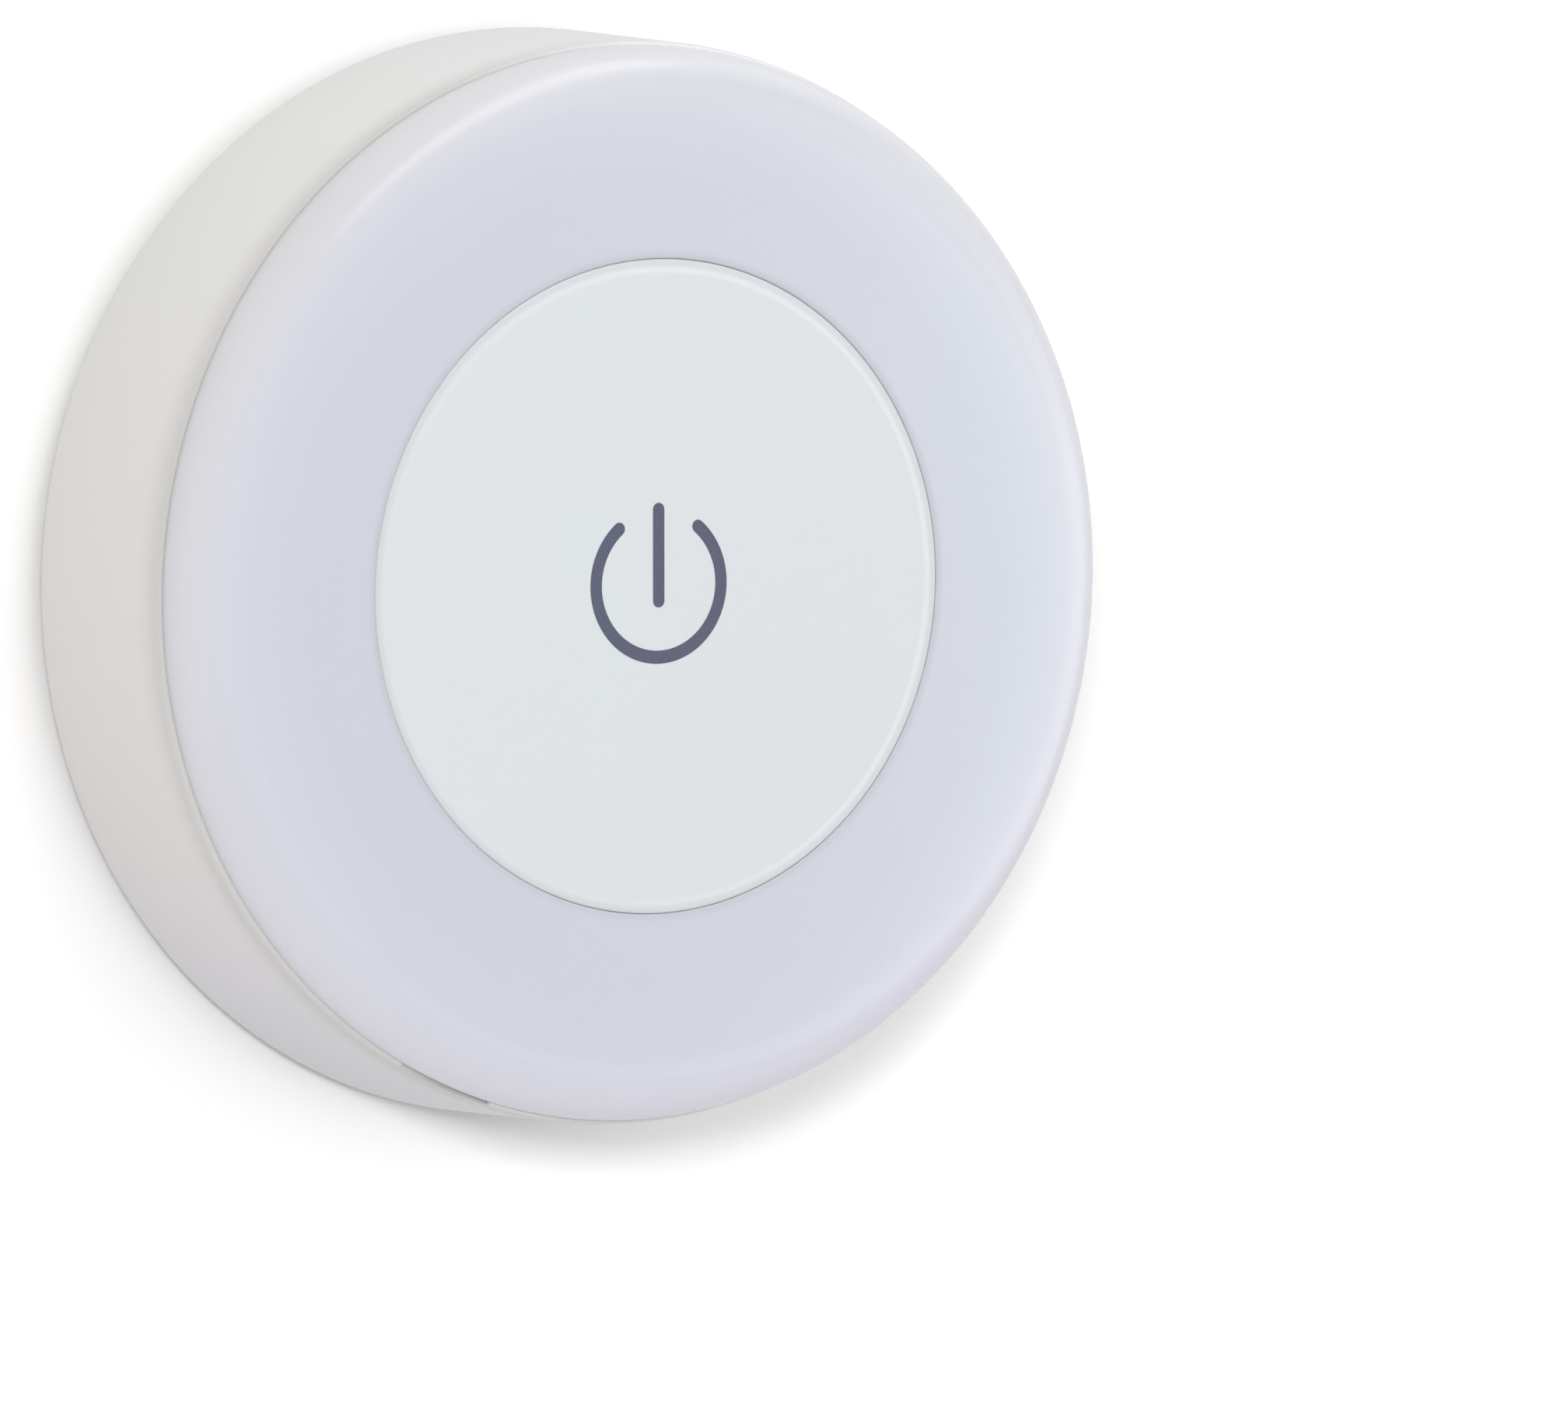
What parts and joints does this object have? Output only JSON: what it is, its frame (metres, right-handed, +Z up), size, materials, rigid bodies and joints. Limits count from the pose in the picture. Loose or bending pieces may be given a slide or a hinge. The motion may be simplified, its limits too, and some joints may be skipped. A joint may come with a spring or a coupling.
{
  "type": "night light",
  "caption": "Round battery night light for a wall: a milky diffuser ring round a large push button, on a back cover that sticks to the wall and twists off to change the cells.",
  "frame": {"origin": "centre of the foam pad's back face, on the wall plane and on the lamp's axis", "axes": "+Y into the wall along the lamp's axis, so the lamp faces -Y; +Z up the wall; +X to the right seen from the front"},
  "size_m": [0.086, 0.0235, 0.086],
  "materials": {
    "housing_white": "satin moulded",
    "cover_white": "satin moulded",
    "milky_diffuser": "milky translucent, soft gloss",
    "button_white": "fine satin",
    "foam": "closed-cell foam",
    "board_white": "white lacquer",
    "plated_steel": "nickel plated",
    "dark_plastic": "matte",
    "light_face": "phosphor resin in a white frame",
    "cell_sleeve": "plain shrink sleeve"
  },
  "bodies": {
    "wall_plate": {"foam_pad": "foam", "back_cover": "cover_white"},
    "lamp": {"housing": "housing_white", "diffuser": "milky_diffuser", "circuit_board": "board_white", "switch_body": "dark_plastic", "button_spring": "plated_steel", "battery_cell_1": "cell_sleeve", "battery_cell_2": "cell_sleeve", "battery_cell_3": "cell_sleeve", "cell_spring_1": "plated_steel", "cell_spring_2": "plated_steel", "cell_spring_3": "plated_steel", "contact_minus": "plated_steel", "contact_bridge_left": "plated_steel", "contact_bridge_right": "plated_steel", "contact_plus": "plated_steel", "light_1": "light_face", "light_2": "light_face", "light_3": "light_face", "light_4": "light_face", "light_5": "light_face", "light_6": "light_face", "light_7": "light_face", "light_8": "light_face", "resistor_1": "dark_plastic", "resistor_2": "dark_plastic", "board_screw_1": "plated_steel", "board_screw_2": "plated_steel", "board_screw_3": "plated_steel", "board_screw_4": "plated_steel"},
    "button": {"button_cap": "button_white", "switch_plunger": "board_white"}
  },
  "joints": [
    {"name": "lamp_twist", "type": "hinge", "parent": "wall_plate", "child": "lamp", "pos_m": [0, 0, 0], "axis": [0, -1, 0], "range_deg": [0, 20]},
    {"name": "button_press", "type": "slide", "parent": "lamp", "child": "button", "axis": [0, 1, 0], "range_m": [0, 0.001], "stiffness_N_per_m": 800, "springref_m": -0.001, "deforming": ["button_spring"]}
  ]
}
